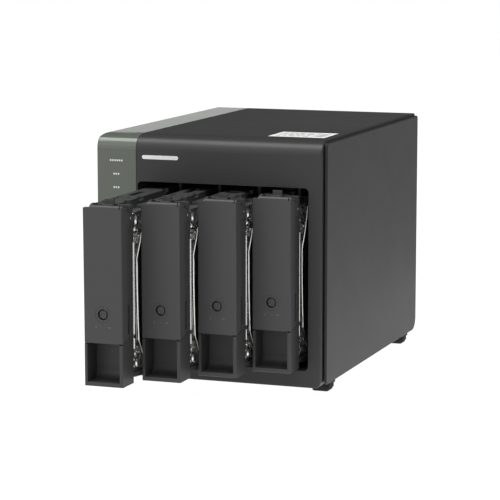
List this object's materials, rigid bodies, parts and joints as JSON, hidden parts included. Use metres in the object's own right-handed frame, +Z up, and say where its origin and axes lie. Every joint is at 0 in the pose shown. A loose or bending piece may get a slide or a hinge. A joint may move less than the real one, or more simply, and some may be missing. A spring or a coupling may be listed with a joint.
{
  "type": "network attached storage",
  "caption": "Desktop network attached storage: a box with drive trays pulled out in steps from the front, a fan grille and sockets at the back.",
  "frame": {"origin": "centre of the bounding box's bottom face, on the surface the feet rest on, with the trays pulled out as at rest", "axes": "+Z up; +Y from the trays to the back of the case; +X to the right when looking at the front"},
  "size_m": [0.16, 0.316, 0.169],
  "materials": {
    "bezel": "dark grey fine-textured moulded plastic",
    "strip": "satin grey-green moulded plastic",
    "top": "near-black satin top skin",
    "panel": "dark grey textured paint",
    "steel": "zinc-plated sheet steel",
    "rear": "black textured powder coat",
    "rubber": "black rubber",
    "fan": "black fan plastic",
    "board": "green solder mask on laminate",
    "contact": "black connector plastic",
    "socket": "tinned sheet steel",
    "sink": "extruded aluminium",
    "tray": "black textured moulded plastic",
    "lever": "dark grey fine-textured moulded plastic",
    "pin": "bright steel pin",
    "lock": "black lock barrel",
    "casting": "die-cast aluminium, machined edges",
    "lid": "bright stamped lid",
    "button": "grey button plastic",
    "print": null,
    "label": null
  },
  "bodies": {
    "case": {"front_bezel": "bezel", "accent_strip": "strip", "top_cover": "top", "side_panel_left": "panel", "side_panel_right": "panel", "base_pan": "steel", "drive_cage": "rear", "rear_panel": "rear", "foot_front_left": "rubber", "foot_front_right": "rubber", "foot_rear_left": "rubber", "foot_rear_right": "rubber", "fan_frame": "fan", "backplane_board": "board", "main_board": "board", "front_board": "board", "heat_sink": "sink", "memory_module": "board", "front_usb_port": "socket", "dc_jack": "contact", "rear_usb_port": "socket", "network_jack_1": "socket", "network_jack_2": "socket", "sfp_cage": "socket", "sata_connector_1": "contact", "sata_connector_2": "contact", "sata_connector_3": "contact", "sata_connector_4": "contact"},
    "tray_1": {"tray_frame_1": "tray", "lever_pin_1": "pin", "drive_casting_1": "casting", "drive_lid_1": "lid", "drive_board_1": "board"},
    "lever_1_body": {"lever_1": "lever"},
    "lock_1": {"key_lock_1": "lock"},
    "tray_2": {"tray_frame_2": "tray", "lever_pin_2": "pin", "drive_casting_2": "casting", "drive_lid_2": "lid", "drive_board_2": "board"},
    "lever_2_body": {"lever_2": "lever"},
    "lock_2": {"key_lock_2": "lock"},
    "tray_3": {"tray_frame_3": "tray", "lever_pin_3": "pin", "drive_casting_3": "casting", "drive_lid_3": "lid", "drive_board_3": "board"},
    "lever_3_body": {"lever_3": "lever"},
    "lock_3": {"key_lock_3": "lock"},
    "tray_4": {"tray_frame_4": "tray", "lever_pin_4": "pin", "drive_casting_4": "casting", "drive_lid_4": "lid", "drive_board_4": "board"},
    "lever_4_body": {"lever_4": "lever"},
    "lock_4": {"key_lock_4": "lock"},
    "power_button_body": {"power_button": "button"},
    "copy_button_body": {"copy_button": "button"},
    "reset_button_body": {"reset_button": "contact"},
    "fan": {"fan_rotor": "fan"}
  },
  "joints": [
    {"name": "tray_1_slide", "type": "slide", "parent": "case", "child": "tray_1", "axis": [0, -1, 0], "range_m": [-0.097, 0.068]},
    {"name": "lever_1_swing", "type": "hinge", "parent": "tray_1", "child": "lever_1_body", "pos_m": [-0.03405, -0.1495, 0.1255], "axis": [-1, 0, 0], "range_deg": [0, 50]},
    {"name": "lock_1_turn", "type": "hinge", "parent": "lever_1_body", "child": "lock_1", "pos_m": [-0.03405, -0.1573, 0.0658], "axis": [0, 1, 0], "range_deg": [0, 90]},
    {"name": "tray_2_slide", "type": "slide", "parent": "case", "child": "tray_2", "axis": [0, -1, 0], "range_m": [-0.0706, 0.0944]},
    {"name": "lever_2_swing", "type": "hinge", "parent": "tray_2", "child": "lever_2_body", "pos_m": [-0.00601, -0.1231, 0.1255], "axis": [-1, 0, 0], "range_deg": [0, 50]},
    {"name": "lock_2_turn", "type": "hinge", "parent": "lever_2_body", "child": "lock_2", "pos_m": [-0.00601, -0.1309, 0.0658], "axis": [0, 1, 0], "range_deg": [0, 90]},
    {"name": "tray_3_slide", "type": "slide", "parent": "case", "child": "tray_3", "axis": [0, -1, 0], "range_m": [-0.0444, 0.1206]},
    {"name": "lever_3_swing", "type": "hinge", "parent": "tray_3", "child": "lever_3_body", "pos_m": [0.02203, -0.0969, 0.1255], "axis": [-1, 0, 0], "range_deg": [0, 50]},
    {"name": "lock_3_turn", "type": "hinge", "parent": "lever_3_body", "child": "lock_3", "pos_m": [0.02203, -0.1047, 0.0658], "axis": [0, 1, 0], "range_deg": [0, 90]},
    {"name": "tray_4_slide", "type": "slide", "parent": "case", "child": "tray_4", "axis": [0, -1, 0], "range_m": [-0.0198, 0.1452]},
    {"name": "lever_4_swing", "type": "hinge", "parent": "tray_4", "child": "lever_4_body", "pos_m": [0.05007, -0.0723, 0.1255], "axis": [-1, 0, 0], "range_deg": [0, 50]},
    {"name": "lock_4_turn", "type": "hinge", "parent": "lever_4_body", "child": "lock_4", "pos_m": [0.05007, -0.0801, 0.0658], "axis": [0, 1, 0], "range_deg": [0, 90]},
    {"name": "power_press", "type": "slide", "parent": "case", "child": "power_button_body", "axis": [0, 1, 0], "range_m": [0, 0.001], "stiffness_N_per_m": 300, "springref_m": -0.0005},
    {"name": "copy_press", "type": "slide", "parent": "case", "child": "copy_button_body", "axis": [0, 1, 0], "range_m": [0, 0.0008], "stiffness_N_per_m": 300, "springref_m": -0.0005},
    {"name": "reset_press", "type": "slide", "parent": "case", "child": "reset_button_body", "axis": [0, -1, 0], "range_m": [0, 0.0006], "stiffness_N_per_m": 300, "springref_m": -0.0005},
    {"name": "fan_spin", "type": "hinge", "parent": "case", "child": "fan", "pos_m": [0.013, 0.139, 0.084], "axis": [0, 1, 0], "continuous": true}
  ]
}
